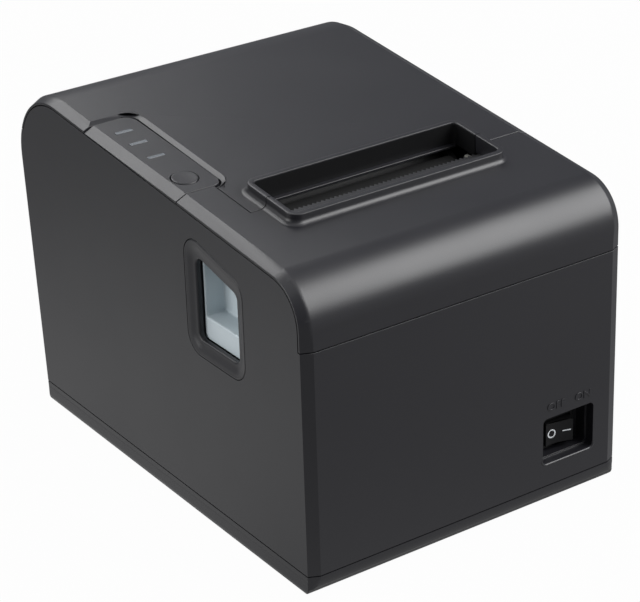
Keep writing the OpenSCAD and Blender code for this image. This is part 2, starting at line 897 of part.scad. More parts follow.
module platen_shaft() {
    place(steel) rod_across(-bearing_x1 - 0.8, gear_x + gear_w + 0.6, platen_u, platen_z, shaft_r);
}

module platen_rubber() {
    place(rubber) difference() {
        rod_across(-platen_l / 2, platen_l / 2, platen_u, platen_z, platen_r);
        rod_across(-platen_l, platen_l, platen_u, platen_z, shaft_r);
    }
}

module platen_gear() {
    place(gear_white) gear_across(platen_teeth, 0, platen_u, platen_z, shaft_r);
}

module platen_bearings() {
    place(brass) for (s = [-1, 1]) {
        x0 = s > 0 ? bearing_x0 : -bearing_x1;
        difference() {
            rod_across(x0, x0 + bearing_x1 - bearing_x0, platen_u, platen_z, bearing_r);
            rod_across(x0 - 1, x0 + 8, platen_u, platen_z, shaft_r + 0.05);
        }
    }
}

module mechanism_frame() {
    place(steel) {
        for (s = [-1, 1]) {
            x0 = s > 0 ? frame_x : -frame_x - frame_t;
            difference() {
                across(x0, x0 + frame_t) difference() {
                    polygon([
                        [40, foot_h + wall], [76, foot_h + wall], [76, platen_z - 8],
                        [70, frame_z1], [56.5, frame_z1], [44, platen_z - 1], [40, platen_z - 1]
                    ]);
                    translate([platen_u, platen_z]) circle(bearing_r + 0.3);
                    translate([platen_u - bearing_r - 0.3, platen_z])
                        square([2 * bearing_r + 0.6, 20]);
                    translate([50, 40]) square([18, 24]);
                }
                rod_across(x0 - 1, x0 + 3, latch_u, latch_z, 2.05);
                rod_across(x0 - 1, x0 + 3, head_u - 2.8, latch_z + 1, 1.2);
                rod_across(x0 - 1, x0 + 3, idler_u, idler_z, 1.5);
                rod_across(x0 - 1, x0 + 3, motor_u, motor_z, 3);
            }
        }
        box(-frame_x, frame_x, 40, 40 + frame_t, z_seam + 73, platen_z);
        box(-frame_x, frame_x, 62, 76, foot_h + wall, foot_h + wall + 1.2);
    }
}

module print_head() {
    place(steel) difference() {
        box(-head_half, head_half, head_u - 4.8, head_u - 0.8, latch_z - 1, platen_z + 5.5);
        rod_across(-frame_x, frame_x, head_u - 2.8, latch_z + 1, 1.25);
        for (x = [-32 : 8 : 32]) {
            box(x - 2, x + 2, head_u - 6, head_u - 3.8, latch_z + 7, platen_z - 7);
        }
    }
}

module head_strip() {
    w = head_half - 1.5;
    place(gear_white) box(-w, w, head_u - 0.8, head_u, platen_z - 4, platen_z + 4);
}

module head_pivot() {
    end = frame_x + frame_t + 0.5;
    place(steel) rod_across(-end, end, head_u - 2.8, latch_z + 1, 1.2);
}

module head_springs() {
    place(steel) for (x = [-25, 25]) {
        translate([x, 40 + frame_t, platen_z - 3]) rotate([-90, 0, 0])
            ring_spring(2.6, 0.35, head_u - 4.8 - 40 - frame_t - 0.5, 6);
    }
}

module idler_gear() {
    place(gear_white) gear_across(idler_teeth, 0, idler_u, idler_z, 1.55);
}

module idler_pin() {
    place(steel) {
        rod_across(frame_x, gear_x + gear_w + 0.3, idler_u, idler_z, 1.5);
        rod_across(gear_x + gear_w + 0.3, gear_x + gear_w + 1.3, idler_u, idler_z, 3);
    }
}

module feed_motor() {
    place(steel) difference() {
        union() {
            rod_across(frame_x - 20, frame_x, motor_u, motor_z, motor_r);
            rod_across(frame_x, frame_x + frame_t, motor_u, motor_z, 3);
        }
        rod_across(frame_x - 14, frame_x + 10, motor_u, motor_z, 1.25);
    }
}

module motor_pinion() {
    place(brass) {
        gear_across(pinion_teeth, 5, motor_u, motor_z, 0.9);
        rod_across(frame_x - 13, gear_x + gear_w, motor_u, motor_z, 1.2);
    }
}

// ---- cutter ----

module tear_blade() {
    teeth = floor((slot_l - 3) / tooth_w);
    end = teeth * tooth_w / 2;
    edge = tear_u + 3.6;
    place(steel) on_top(0) {
        translate([-slot_l / 2 + 0.3, tear_u, tear_h]) cube([slot_l - 0.6, edge - tear_u, tear_t]);
        translate([0, 0, tear_h]) linear_extrude(tear_t) polygon(concat(
            [[-end, edge - 0.1]],
            [
                for (i = [0 : teeth - 1]) for (k = [0, 1])
                    [-end + (i + k / 2) * tooth_w, edge + tooth_l * k]
            ],
            [[end, edge - 0.1]]
        ));
    }
}

module cutter_bed() {
    place(steel) on_top(0) difference() {
        union() {
            translate([cutter_x - 9, bed_front, -11]) cube([frame_x - cutter_x + 9, 26.6, 2.2]);
            translate([-frame_x, bed_front, -11]) cube([2 * frame_x, 31.6, 2.2]);
            for (x = [-frame_x, frame_x - 1.3]) {
                translate([x, bed_front + 29.4, -24]) cube([1.3, 5.6, 14]);
            }
        }
        translate([cutter_x, cutter_u, -20]) cylinder(h = 20, r = 1.5);
        translate([cutter_x, cutter_pinion_u, -20]) cylinder(h = 20, r = 2.2);
        translate([-30, 20, -20]) cube([60, 14, 20]);
    }
}

module moving_blade() {
    pitch = PI * module_mm;
    place(steel) on_top(0) {
        translate([-blade_half, 14, blade_h]) cube([2 * blade_half, 38, blade_t]);
        translate([rack_x, 13, blade_h - 2.2]) cube([2.3, 23, 2.6]);
        translate([rack_x, 14, blade_h - 0.2]) cube([5, 21, 0.6]);
        translate([0, 0, blade_h - 2.2]) linear_extrude(2.6) for (i = [-6 : 1]) {
            translate([cutter_x + cutter_r, cutter_u + (i + 0.5) * pitch]) polygon([
                [1.6, 0.94], [1.0, 0.94], [0, 0.57], [-0.6, 0.35],
                [-0.6, -0.35], [0, -0.57], [1.0, -0.94], [1.6, -0.94]
            ]);
        }
    }
}

module cutter_gear() {
    place(gear_white) on_top(0) translate([cutter_x, cutter_u, blade_h - 2.4]) {
        spur(cutter_teeth, 0, 2.8, 1.55);
    }
}

module cutter_pin() {
    place(steel) on_top(0) translate([cutter_x, cutter_u, -11]) {
        cylinder(h = 5.7, r = 1.5);
        translate([0, 0, 5.7]) cylinder(h = 0.8, r = 2.6);
    }
}

module cutter_motor() {
    place(steel) on_top(0) translate([cutter_x, cutter_pinion_u, -27]) difference() {
        cylinder(h = 15.9, r = 6);
        translate([0, 0, 4]) cylinder(h = 20, r = 1.05);
    }
}

module cutter_pinion() {
    place(brass) on_top(0) translate([cutter_x, cutter_pinion_u, blade_h - 2.4]) {
        spur(cutter_pinion_teeth, 0, 2.8, 0.9);
        translate([0, 0, -10]) cylinder(h = 12.8, r = 1);
    }
}

// ---- paper bucket ----

module paper_bucket() {
    r1 = bucket_r + bucket_t;
    place(inner_black) {
        across(-bucket_half, bucket_half) difference() {
            translate([bucket_u, bucket_z]) circle(r1, $fn = 128);
            translate([bucket_u, bucket_z]) circle(bucket_r, $fn = 128);
            translate([bucket_u - r1 - 1, bucket_z]) square([2 * r1 + 2, 60]);
        }
        for (u = [bucket_u - r1, bucket_u + bucket_r]) {
            box(-bucket_half, bucket_half, u, u + bucket_t, bucket_z - 0.5, bucket_z + bucket_rim);
        }
        // end walls that stand on the tray
        for (x = [-bucket_half, bucket_half - bucket_t]) {
            across(x, x + bucket_t) {
                translate([bucket_u, bucket_z]) circle(r1, $fn = 128);
                translate([bucket_u - r1, bucket_z]) square([2 * r1, bucket_rim]);
                translate([bucket_u - 34, foot_h + wall]) square([68, 60]);
            }
        }
    }
}

module paper_sensor() {
    place(inner_black) box(-6, 6, bucket_u - bucket_r - 7, bucket_u - bucket_r - 2, z_seam + 88, z_seam + 96);
}

// ---- electrics ----

module switch_body() {
    place(inner_black) difference() {
        union() {
            box(sw_x - sw_out_x - 1.2, sw_x + sw_out_x + 1.2, sw_depth - 1.2, sw_depth,
                sw_z - sw_out_z - 0.9, sw_z + sw_out_z + 0.9);
            box(sw_x - sw_out_x, sw_x + sw_out_x, sw_depth - 0.5, sw_depth + 13,
                sw_z - sw_out_z, sw_z + sw_out_z);
        }
        box(sw_x - sw_in_x, sw_x + sw_in_x, 0, sw_depth + 9, sw_z - sw_in_z, sw_z + sw_in_z);
        translate([sw_x, rocker_u, sw_z - sw_in_z - 0.65]) cylinder(h = 2 * sw_in_z + 1.3, r = 0.85);
    }
    place(brass) for (x = [-5, 0, 5]) {
        box(sw_x + x - 0.4, sw_x + x + 0.4, sw_depth + 12.5, sw_depth + 18, sw_z - 2, sw_z + 2);
    }
}

module power_rocker() {
    place(inner_black) translate([sw_x, rocker_u, sw_z]) rotate([0, 0, -rocker_swing / 2]) {
        difference() {
            translate([-rocker_l / 2, -5.4, -rocker_h / 2]) cube([rocker_l, 8.4, rocker_h]);
            translate([0, -5.4 - 24.6, -10]) cylinder(h = 20, r = 25.3, $fn = 160);
        }
        translate([0, 0, -sw_in_z - 0.55]) cylinder(h = 2 * sw_in_z + 1.1, r = 0.8);
    }
}

module main_board() {
    place(board_green) difference() {
        box(-41.5, 41.5, 84, base_d - 17.5, board_z, board_z + 1.6);
        for (p = stand_xy) {
            translate([p[0], p[1], board_z - 1]) cylinder(h = 4, r = 1.6);
        }
    }
    place(inner_black) box(-15, 5, 100, 120, board_z + 1.6, board_z + 4);
    place(inner_black) {
        translate([24, 110, board_z + 1.6]) cylinder(h = 12, r = 5);
        translate([24, 124, board_z + 1.6]) cylinder(h = 12, r = 5);
    }
}

module socket(k) {
    translate([k[0] - k[1] / 2, bay_u - 15, board_z + 1.6]) cube([k[1], 15.4, k[2]]);
}

module socket_power() {
    place(inner_black) difference() {
        socket(sockets[0]);
        translate([-36, bay_u - 9, board_z + 8.3]) rotate([-90, 0, 0]) cylinder(h = 20, r = 4.8);
    }
    place(brass) for (x = [-37.6, -34.4]) {
        translate([x, bay_u - 9, board_z + 8.3]) rotate([-90, 0, 0]) cylinder(h = 6, r = 0.6);
    }
}

module socket_usb() {
    place(steel) difference() {
        socket(sockets[1]);
        box(-17.2, -8.8, bay_u - 9, bay_u + 4, board_z + 3.4, board_z + 11.2);
    }
    place(inner_black) box(-15.8, -10.2, bay_u - 9.5, bay_u - 5, board_z + 5.6, board_z + 8.8);
}

module socket_network() {
    place(steel) difference() {
        socket(sockets[2]);
        box(3.2, 14.8, bay_u - 11, bay_u + 4, board_z + 4, board_z + 11.2);
        box(6, 12, bay_u - 11, bay_u + 4, board_z + 11, board_z + 13);
    }
}

module socket_drawer() {
    place(inner_black) difference() {
        socket(sockets[3]);
        box(28.2, 37.8, bay_u - 11, bay_u + 4, board_z + 4, board_z + 10.8);
        box(31, 35, bay_u - 11, bay_u + 4, board_z + 10.6, board_z + 12.6);
    }
}

module case_screws() {
    place(steel) for (p = post_xy) {
        translate([p[0], p[1], foot_h + 0.7]) difference() {
            cylinder(h = 2.3, r = 3);
            translate([-0.4, -2, -0.01]) cube([0.8, 4, 1]);
            translate([-2, -0.4, -0.01]) cube([4, 0.8, 1]);
        }
        translate([p[0], p[1], foot_h + 2.5]) cylinder(h = 14, r = 1.5);
    }
}

base_tray();
rubber_feet();
main_case();
lid();
front_cover();
indicator_panel();
light_pipe_rear();
light_pipe_middle();
light_pipe_front();
feed_button();
feed_spring();
feed_switch();
panel_board();
lever_bezel();
open_lever();
lever_spring();
latch_shaft();
latch_hooks();
lid_hinge_pins();
lid_liner();
platen_shaft();
platen_rubber();
platen_gear();
platen_bearings();
mechanism_frame();
print_head();
head_strip();
head_pivot();
head_springs();
idler_gear();
idler_pin();
feed_motor();
motor_pinion();
tear_blade();
cutter_bed();
moving_blade();
cutter_gear();
cutter_pin();
cutter_motor();
cutter_pinion();
paper_bucket();
paper_sensor();
switch_body();
power_rocker();
main_board();
socket_power();
socket_usb();
socket_network();
socket_drawer();
case_screws();
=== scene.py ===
"""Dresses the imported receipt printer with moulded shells, exit rim, controls, marks, springs and works."""

import json
import math

import bmesh
import bpy
import numpy as np
from mathutils import Matrix, Vector


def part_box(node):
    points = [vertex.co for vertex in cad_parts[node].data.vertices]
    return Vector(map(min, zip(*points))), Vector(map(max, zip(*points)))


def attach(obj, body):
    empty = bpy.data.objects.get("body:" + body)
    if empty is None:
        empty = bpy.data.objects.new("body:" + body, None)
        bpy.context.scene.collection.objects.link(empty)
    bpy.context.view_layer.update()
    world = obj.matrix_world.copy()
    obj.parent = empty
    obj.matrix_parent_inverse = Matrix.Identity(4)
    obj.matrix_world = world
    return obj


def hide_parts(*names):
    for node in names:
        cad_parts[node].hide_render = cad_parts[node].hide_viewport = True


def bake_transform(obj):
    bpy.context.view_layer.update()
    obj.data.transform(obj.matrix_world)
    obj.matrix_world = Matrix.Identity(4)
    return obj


bl_info = {
    "name": "Receipt printer",
    "version": (1, 0, 0),
    "blender": (4, 5, 0),
    "location": "View3D > Sidebar > Printer",
    "description": "Dresses a desktop receipt printer and sets its stage",
    "category": "Object",
}

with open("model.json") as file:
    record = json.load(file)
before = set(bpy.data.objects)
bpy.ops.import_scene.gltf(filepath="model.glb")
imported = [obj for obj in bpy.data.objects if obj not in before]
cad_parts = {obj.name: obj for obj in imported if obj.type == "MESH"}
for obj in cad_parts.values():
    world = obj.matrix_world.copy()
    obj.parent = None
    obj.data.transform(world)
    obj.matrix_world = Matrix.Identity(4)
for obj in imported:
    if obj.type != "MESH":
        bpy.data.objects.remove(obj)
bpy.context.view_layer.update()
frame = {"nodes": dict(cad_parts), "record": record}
MM = 0.001

# The case. Its width and front face come from the frame. u is the distance behind the front face.
TRAY_LOW, TRAY_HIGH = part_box("base_tray")
FRONT_Y = float(TRAY_LOW[1])
HALF_W = float(TRAY_HIGH[0])
SEAM_Z = 11.5 * MM  # seam between the base tray and the case
SEAM = 0.4 * MM  # gap between the lid and the front cover
CREASE = 30.0  # degrees between two faces, past which their edge counts as sharp

# the base tray: the wide rounding that the solids have along its lower side edges, and the one that is drawn
TRAY_ROUND = 7.6 * MM
TRAY_SOFT = 4.0 * MM
TRAY_NOSE = 9.6 * MM  # rounding of the lower front edge
FACET_RUN = 4.4 * MM  # width of the upright facets at the corners of the case
FACET_SLOPE = 2.1 / 4.4  # how far a facet falls back for each step outwards

# the sloping top, parted between lid and front cover in the middle of the paper exit
TILT = math.atan(0.1)
TOP_FRONT_Z = SEAM_Z + 115.8 * MM
PART_U = 56 * MM
RIM_U = PART_U - 0.45 * MM
RIM_LENGTH = 98 * MM
RIM_DEPTH = 32.5 * MM
RIM_CORNER = 4.5 * MM

# the feed button and the pocket of the power switch
FEED_U = 91.1 * MM
SWITCH_X = 49.0 * MM
POCKET = (47.9 * MM, SEAM_Z + 19.6 * MM)

BODY_OF = {
    node: body
    for body, nodes in frame["record"]["behaviour"]["bodies"].items()
    for node in nodes
}
SLOT_OF = {row["node"]: row["material_slot"] for row in frame["record"]["subparts"]}


# ---- places on the case ----


def on_top(x, along, height):
    """Points on the sloping top: across x, along the slope from the front face, and height off the face."""
    x, along, height = np.broadcast_arrays(
        np.asarray(x, float), np.asarray(along, float), np.asarray(height, float)
    )
    y = FRONT_Y + along * math.cos(TILT) - height * math.sin(TILT)
    z = TOP_FRONT_Z + along * math.sin(TILT) + height * math.cos(TILT)
    return np.stack([x, y, z], axis=-1)


def along_at(u):
    """Distance along the slope of the spot on the top face that lies u behind the front face."""
    return u / math.cos(TILT)


# ---- meshes ----


def new_piece(name, vertices, faces, material, body, smooth=40.0):
    """A mesh object at the origin, smooth except at edges sharper than the angle.

    It rides on a body if one is named."""
    mesh = bpy.data.meshes.new(name)
    mesh.from_pydata([tuple(v) for v in vertices], [], [tuple(f) for f in faces])
    mesh.validate()
    mesh.materials.append(material)
    mesh.shade_smooth()
    mesh.set_sharp_from_angle(angle=math.radians(smooth))
    piece = bpy.data.objects.new(name, mesh)
    bpy.context.scene.collection.objects.link(piece)
    if body:
        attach(piece, body)
    return piece


def grid_faces(rows, columns, wrap_rows=False, wrap_columns=False):
    """Quads between neighbouring points of a grid, flattened row by row."""
    r = np.arange(rows if wrap_rows else rows - 1)
    c = np.arange(columns if wrap_columns else columns - 1)
    r0, c0 = np.meshgrid(r, c, indexing="ij")
    r1, c1 = (r0 + 1) % rows, (c0 + 1) % columns
    return np.stack(
        [r0 * columns + c0, r0 * columns + c1, r1 * columns + c1, r1 * columns + c0],
        axis=-1,
    ).reshape(-1, 4)


def loft(name, grid, material, body, wrap_rows=False, wrap_columns=True, caps=True, smooth=40.0):
    """A piece through the sections of a grid of points, closed by one face at each end."""
    rows, columns = grid.shape[:2]
    faces = grid_faces(rows, columns, wrap_rows, wrap_columns).tolist()
    if caps and not wrap_rows:
        faces.append(list(range(columns))[::-1])
        faces.append([(rows - 1) * columns + i for i in range(columns)])
    piece = new_piece(name, grid.reshape(-1, 3), faces, material, body, smooth)
    outwards(piece)
    return piece


def outwards(piece):
    """Turns every face of a closed mesh to point outwards."""
    made = bmesh.new()
    made.from_mesh(piece.data)
    bmesh.ops.recalc_face_normals(made, faces=made.faces)
    made.to_mesh(piece.data)
    made.free()


def soften(piece, width, segments=2):
    """Rounds the sharp edges of a piece. Its flat faces keep their shading."""
    bevel = piece.modifiers.new("edges", "BEVEL")
    bevel.width = width
    bevel.segments = segments
    bevel.limit_method = "ANGLE"
    bevel.angle_limit = math.radians(CREASE)
    bevel.use_clamp_overlap = False
    bevel.miter_outer = "MITER_ARC"
    normals = piece.modifiers.new("normals", "WEIGHTED_NORMAL")
    normals.weight = 100
    normals.keep_sharp = True
    return piece


def moulded(node, material, width, segments=2):
    """A merged copy of a CAD node in its place, with whole flat faces and edges rounded to the width."""
    flat = math.radians(0.6)
    mesh = frame["nodes"][node].data.copy()
    mesh.name = node + "_moulded"
    made = bmesh.new()
    made.from_mesh(mesh)
    bmesh.ops.remove_doubles(made, verts=made.verts, dist=2e-6)
    bmesh.ops.dissolve_degenerate(made, edges=made.edges, dist=1e-6)
    bmesh.ops.dissolve_limit(made, angle_limit=flat, verts=made.verts, edges=made.edges, delimit=set())
    bmesh.ops.recalc_face_normals(made, faces=made.faces)
    made.to_mesh(mesh)
    made.free()
    mesh.materials.clear()
    mesh.materials.append(material)
    mesh.shade_smooth()
    mesh.set_sharp_from_angle(angle=math.radians(CREASE))
    piece = bpy.data.objects.new(mesh.name, mesh)
    bpy.context.scene.collection.objects.link(piece)
    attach(piece, BODY_OF[node])
    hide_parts(node)
    if width:
        soften(piece, width, segments)
    return piece


def paint(node, material):
    """Gives a CAD node a material in place of its plain one."""
    mesh = frame["nodes"][node].data
    mesh.materials.clear()
    mesh.materials.append(material)


# ---- outlines and sweeps ----


def rounded_outline(corners, radii, steps=10):
    """Points round a convex outline, counter-clockwise, each corner an arc of its own radius.

    An arc's centre lies at corner - (a + b) * r / (1 + a.b), where a and b are the outward normals of its
    two edges, and its points turn evenly from a to b."""
    corners = np.asarray(corners, float)
    edges = np.roll(corners, -1, axis=0) - corners
    edges /= np.linalg.norm(edges, axis=1, keepdims=True)
    normals = np.stack([edges[:, 1], -edges[:, 0]], axis=1)
    before = np.roll(normals, 1, axis=0)
    radii = np.broadcast_to(np.asarray(radii, float), len(corners))[:, None]
    share = 1 + np.sum(before * normals, axis=1, keepdims=True)
    centres = corners - (before + normals) * radii / share
    start = np.arctan2(before[:, 1], before[:, 0])[:, None]
    turn = np.mod(np.arctan2(normals[:, 1], normals[:, 0])[:, None] - start, 2 * math.pi)
    angles = start + turn * np.linspace(0, 1, steps)[None, :]
    ring = np.stack([np.cos(angles), np.sin(angles)], axis=-1)
    return (centres[:, None, :] + radii[:, :, None] * ring).reshape(-1, 2)


def oblong(length, depth, radius, steps=10):
    """A rounded rectangle about the origin."""
    x, y = length / 2, depth / 2
    return rounded_outline([(-x, -y), (x, -y), (x, y), (-x, y)], radius, steps)


def arc(centre, radius, first, last, steps=6):
    """Points on an arc, angles in degrees."""
    a = np.radians(np.linspace(first, last, steps))
    return np.stack([centre[0] + radius * np.cos(a), centre[1] + radius * np.sin(a)], axis=1)


def tube(path, radius, sides=10, closed=False):
    """Rings of a round wire along a path, each ring across the path and turned as little as can be."""
    path = np.asarray(path, float)
    if closed:
        ahead = np.roll(path, -1, axis=0) - np.roll(path, 1, axis=0)
    else:
        ahead = np.gradient(path, axis=0)
    ahead /= np.linalg.norm(ahead, axis=1, keepdims=True)
    reference = [0.0, 0.0, 1.0] if abs(ahead[:, 2]).mean() < 0.9 else [1.0, 0.0, 0.0]
    across = np.cross(ahead, reference)
    across /= np.linalg.norm(across, axis=1, keepdims=True)
    over = np.cross(across, ahead)
    a = np.linspace(0, 2 * math.pi, sides, endpoint=False)
    cos, sin = np.cos(a)[None, :, None], np.sin(a)[None, :, None]
    return path[:, None, :] + radius * (cos * across[:, None, :] + sin * over[:, None, :])


def coil(start, end, radius, wire, turns, per_turn=28, flat=0.75):
    """Rings of a coil spring from start to end.

    The wire climbs evenly between its ends, where the first and last part of a turn, flat, lie closed."""
    start, end = np.asarray(start, float), np.asarray(end, float)
    height = np.linalg.norm(end - start)
    axis = (end - start) / height
    side = np.cross(axis, [1.0, 0.0, 0.0] if abs(axis[0]) < 0.9 else [0.0, 1.0, 0.0])
    side /= np.linalg.norm(side)
    other = np.cross(axis, side)
    t = np.linspace(0, 1, int(turns * per_turn) + 1)
    a = 2 * math.pi * turns * t
    knots = [0, flat, turns - flat, turns]
    rise = np.interp(t * turns, knots, [0, 0.15 * wire, height - 2.15 * wire, height - 2 * wire])
    path = (
        start
        + (rise + wire)[:, None] * axis
        + radius * (np.cos(a)[:, None] * side + np.sin(a)[:, None] * other)
    )
    return tube(path, wire, 8)


# ---- shader groups ----


def new_group(name, inputs, outputs):
    """An empty shader node group with named sockets: (name, kind, default)."""
    group = bpy.data.node_groups.new(name, "ShaderNodeTree")
    for label, kind, default in inputs:
        socket = group.interface.new_socket(label, in_out="INPUT", socket_type=kind)
        if default is not None:
            socket.default_value = default
    for label, kind in outputs:
        group.interface.new_socket(label, in_out="OUTPUT", socket_type=kind)
    source = group.nodes.new("NodeGroupInput")
    target = group.nodes.new("NodeGroupOutput")
    return group, source, target


def spark_texture_group():
    """Fine spark-eroded texture: rounded cells and a finer noise, as a height and a colour mask."""
    group, source, target = new_group(
        "Spark texture",
        [("Scale", "NodeSocketFloat", 2600.0), ("Coarse", "NodeSocketFloat", 0.5)],
        [("Height", "NodeSocketFloat"), ("Mask", "NodeSocketFloat")],
    )
    link, node = group.links.new, group.nodes.new
    place = node("ShaderNodeTexCoord")
    cells = node("ShaderNodeTexVoronoi")
    cells.feature = "SMOOTH_F1"
    cells.inputs["Smoothness"].default_value = 0.6
    noise = node("ShaderNodeTexNoise")
    noise.inputs["Detail"].default_value = 3.0
    double = node("ShaderNodeMath")
    double.operation = "MULTIPLY"
    double.inputs[1].default_value = 0.45
    mix = node("ShaderNodeMix")
    mix.data_type = "FLOAT"
    link(place.outputs["Object"], cells.inputs["Vector"])
    link(place.outputs["Object"], noise.inputs["Vector"])
    link(source.outputs["Scale"], cells.inputs["Scale"])
    link(source.outputs["Scale"], double.inputs[0])
    link(double.outputs[0], noise.inputs["Scale"])
    link(source.outputs["Coarse"], mix.inputs["Factor"])
    link(cells.outputs["Distance"], mix.inputs["A"])
    link(noise.outputs["Fac"], mix.inputs["B"])
    link(mix.outputs["Result"], target.inputs["Height"])
    link(noise.outputs["Fac"], target.inputs["Mask"])
    return group


def handling_group():
    """Slow variation of a surface that hands and dust leave: a soft cloud mask and broken fine specks."""
    group, source, target = new_group(
        "Handling",
        [("Scale", "NodeSocketFloat", 22.0), ("Specks", "NodeSocketFloat", 700.0)],
        [("Cloud", "NodeSocketFloat"), ("Speck", "NodeSocketFloat")],
    )
    link, node = group.links.new, group.nodes.new
    place = node("ShaderNodeTexCoord")
    cloud = node("ShaderNodeTexNoise")
    cloud.inputs["Detail"].default_value = 4.0
    cloud.inputs["Roughness"].default_value = 0.6
    speck = node("ShaderNodeTexNoise")
    speck.inputs["Detail"].default_value = 1.0
    ramp = node("ShaderNodeMapRange")
    ramp.inputs["From Min"].default_value = 0.62
    ramp.inputs["From Max"].default_value = 0.76
    link(place.outputs["Object"], cloud.inputs["Vector"])
    link(place.outputs["Object"], speck.inputs["Vector"])
    link(source.outputs["Scale"], cloud.inputs["Scale"])
    link(source.outputs["Specks"], speck.inputs["Scale"])
    link(cloud.outputs["Fac"], target.inputs["Cloud"])
    link(speck.outputs["Fac"], ramp.inputs["Value"])
    link(ramp.outputs["Result"], target.inputs["Speck"])
    return group


def brushed_group():
    """Long fine streaks along one axis, as a height."""
    group, source, target = new_group(
        "Brushed",
        [("Stretch", "NodeSocketVector", (60.0, 2500.0, 2500.0))],
        [("Height", "NodeSocketFloat")],
    )
    link, node = group.links.new, group.nodes.new
    place = node("ShaderNodeTexCoord")
    scale = node("ShaderNodeVectorMath")
    scale.operation = "MULTIPLY"
    noise = node("ShaderNodeTexNoise")
    noise.inputs["Scale"].default_value = 1.0
    noise.inputs["Detail"].default_value = 2.0
    link(place.outputs["Object"], scale.inputs[0])
    link(source.outputs["Stretch"], scale.inputs[1])
    link(scale.outputs[0], noise.inputs["Vector"])
    link(noise.outputs["Fac"], target.inputs["Height"])
    return group


GROUPS = {}


def shader_group(name, maker):
    """The shared group of that name, made on first use."""
    if name not in GROUPS:
        GROUPS[name] = maker()
    return GROUPS[name]


# ---- materials ----

MATERIALS = {}


def plastic(name, colour, roughness=0.5, grain=2600.0, bump=0.12, coarse=0.5, shift=0.12, specular=0.5):
    """Moulded plastic: spark texture in its height, slow and fine variation in colour and gloss.

    shift is the share by which the colour varies, coarse the share of the fine noise in the texture."""
    if name in MATERIALS:
        return MATERIALS[name]
    material = bpy.data.materials.new(name)
    material.use_nodes = True
    tree = material.node_tree
    link, node = tree.links.new, tree.nodes.new
    shader = tree.nodes["Principled BSDF"]
    shader.inputs["Specular IOR Level"].default_value = specular
    texture = node("ShaderNodeGroup")
    texture.node_tree = shader_group("spark", spark_texture_group)
    texture.inputs["Scale"].default_value = grain
    texture.inputs["Coarse"].default_value = coarse
    hands = node("ShaderNodeGroup")
    hands.node_tree = shader_group("handling", handling_group)
    tone = node("ShaderNodeMix")
    tone.data_type = "RGBA"
    tone.inputs["A"].default_value = (*[c * (1 - shift) for c in colour], 1)
    tone.inputs["B"].default_value = (*[c * (1 + shift) for c in colour], 1)
    link(hands.outputs["Cloud"], tone.inputs["Factor"])
    fleck = node("ShaderNodeMix")
    fleck.data_type = "RGBA"
    fleck.inputs["B"].default_value = (*[min(1, c * (1 + 2 * shift)) for c in colour], 1)
    link(texture.outputs["Mask"], fleck.inputs["Factor"])
    link(tone.outputs["Result"], fleck.inputs["A"])
    link(fleck.outputs["Result"], shader.inputs["Base Color"])
    gloss = node("ShaderNodeMapRange")
    gloss.inputs["To Min"].default_value = roughness - 0.05
    gloss.inputs["To Max"].default_value = roughness + 0.05
    link(hands.outputs["Cloud"], gloss.inputs["Value"])
    link(gloss.outputs["Result"], shader.inputs["Roughness"])
    if bump:
        relief = node("ShaderNodeBump")
        relief.inputs["Strength"].default_value = bump
        relief.inputs["Distance"].default_value = 0.0002
        link(texture.outputs["Height"], relief.inputs["Height"])
        link(relief.outputs["Normal"], shader.inputs["Normal"])
    MATERIALS[name] = material
    return material


def metal(name, colour, roughness=0.3, stretch=(60.0, 2500.0, 2500.0), bump=0.1):
    """Bare metal with fine streaks in its gloss and height."""
    if name in MATERIALS:
        return MATERIALS[name]
    material = bpy.data.materials.new(name)
    material.use_nodes = True
    tree = material.node_tree
    link, node = tree.links.new, tree.nodes.new
    shader = tree.nodes["Principled BSDF"]
    shader.inputs["Metallic"].default_value = 1.0
    streaks = node("ShaderNodeGroup")
    streaks.node_tree = shader_group("brushed", brushed_group)
    streaks.inputs["Stretch"].default_value = stretch
    tone = node("ShaderNodeMix")
    tone.data_type = "RGBA"
    tone.inputs["A"].default_value = (*[c * 0.85 for c in colour], 1)
    tone.inputs["B"].default_value = (*colour, 1)
    link(streaks.outputs["Height"], tone.inputs["Factor"])
    link(tone.outputs["Result"], shader.inputs["Base Color"])
    gloss = node("ShaderNodeMapRange")
    gloss.inputs["To Min"].default_value = roughness - 0.08
    gloss.inputs["To Max"].default_value = roughness + 0.12
    link(streaks.outputs["Height"], gloss.inputs["Value"])
    link(gloss.outputs["Result"], shader.inputs["Roughness"])
    relief = node("ShaderNodeBump")
    relief.inputs["Strength"].default_value = bump
    relief.inputs["Distance"].default_value = 0.0001
    link(streaks.outputs["Height"], relief.inputs["Height"])
    link(relief.outputs["Normal"], shader.inputs["Normal"])
    MATERIALS[name] = material
    return material


def case_plastic():
    look = bpy.context.scene.printer_colours
    return plastic(
        "case_plastic", look.case, look.case_roughness, grain=3000.0, bump=0.16, shift=0.06
    )


def inner_plastic():
    return plastic("inner_plastic", bpy.context.scene.printer_colours.inner, 0.45, bump=0.06, specular=0.2)


def lever_plastic():
    return plastic("lever_plastic", bpy.context.scene.printer_colours.lever, 0.38, bump=0.04, shift=0.03)


def light_plastic():
    return plastic("light_plastic", bpy.context.scene.printer_colours.lights, 0.25, bump=0.02, shift=0.05)


def gear_plastic():
    return plastic("gear_plastic", (0.78, 0.76, 0.68), 0.4, bump=0.04, shift=0.04)


def rubber():
    return plastic("rubber", (0.006, 0.006, 0.006), 0.7, grain=1800.0, bump=0.2, specular=0.15)


def steel():
    return metal("steel", (0.55, 0.56, 0.58), 0.3)


# near-black steel: painted shade for the parts inside the paper exit
def exit_shade_steel():
    return metal("exit_shade_steel", (0.1, 0.1, 0.105), 0.35, stretch=(2500.0, 60.0, 2500.0))


def brass():
    return metal("brass", (0.72, 0.52, 0.22), 0.3)


def head_metal():
    return metal("head_metal", (0.72, 0.73, 0.75), 0.35)


def board():
    return plastic("board", (0.015, 0.09, 0.045), 0.3, grain=900.0, bump=0.05, shift=0.2)


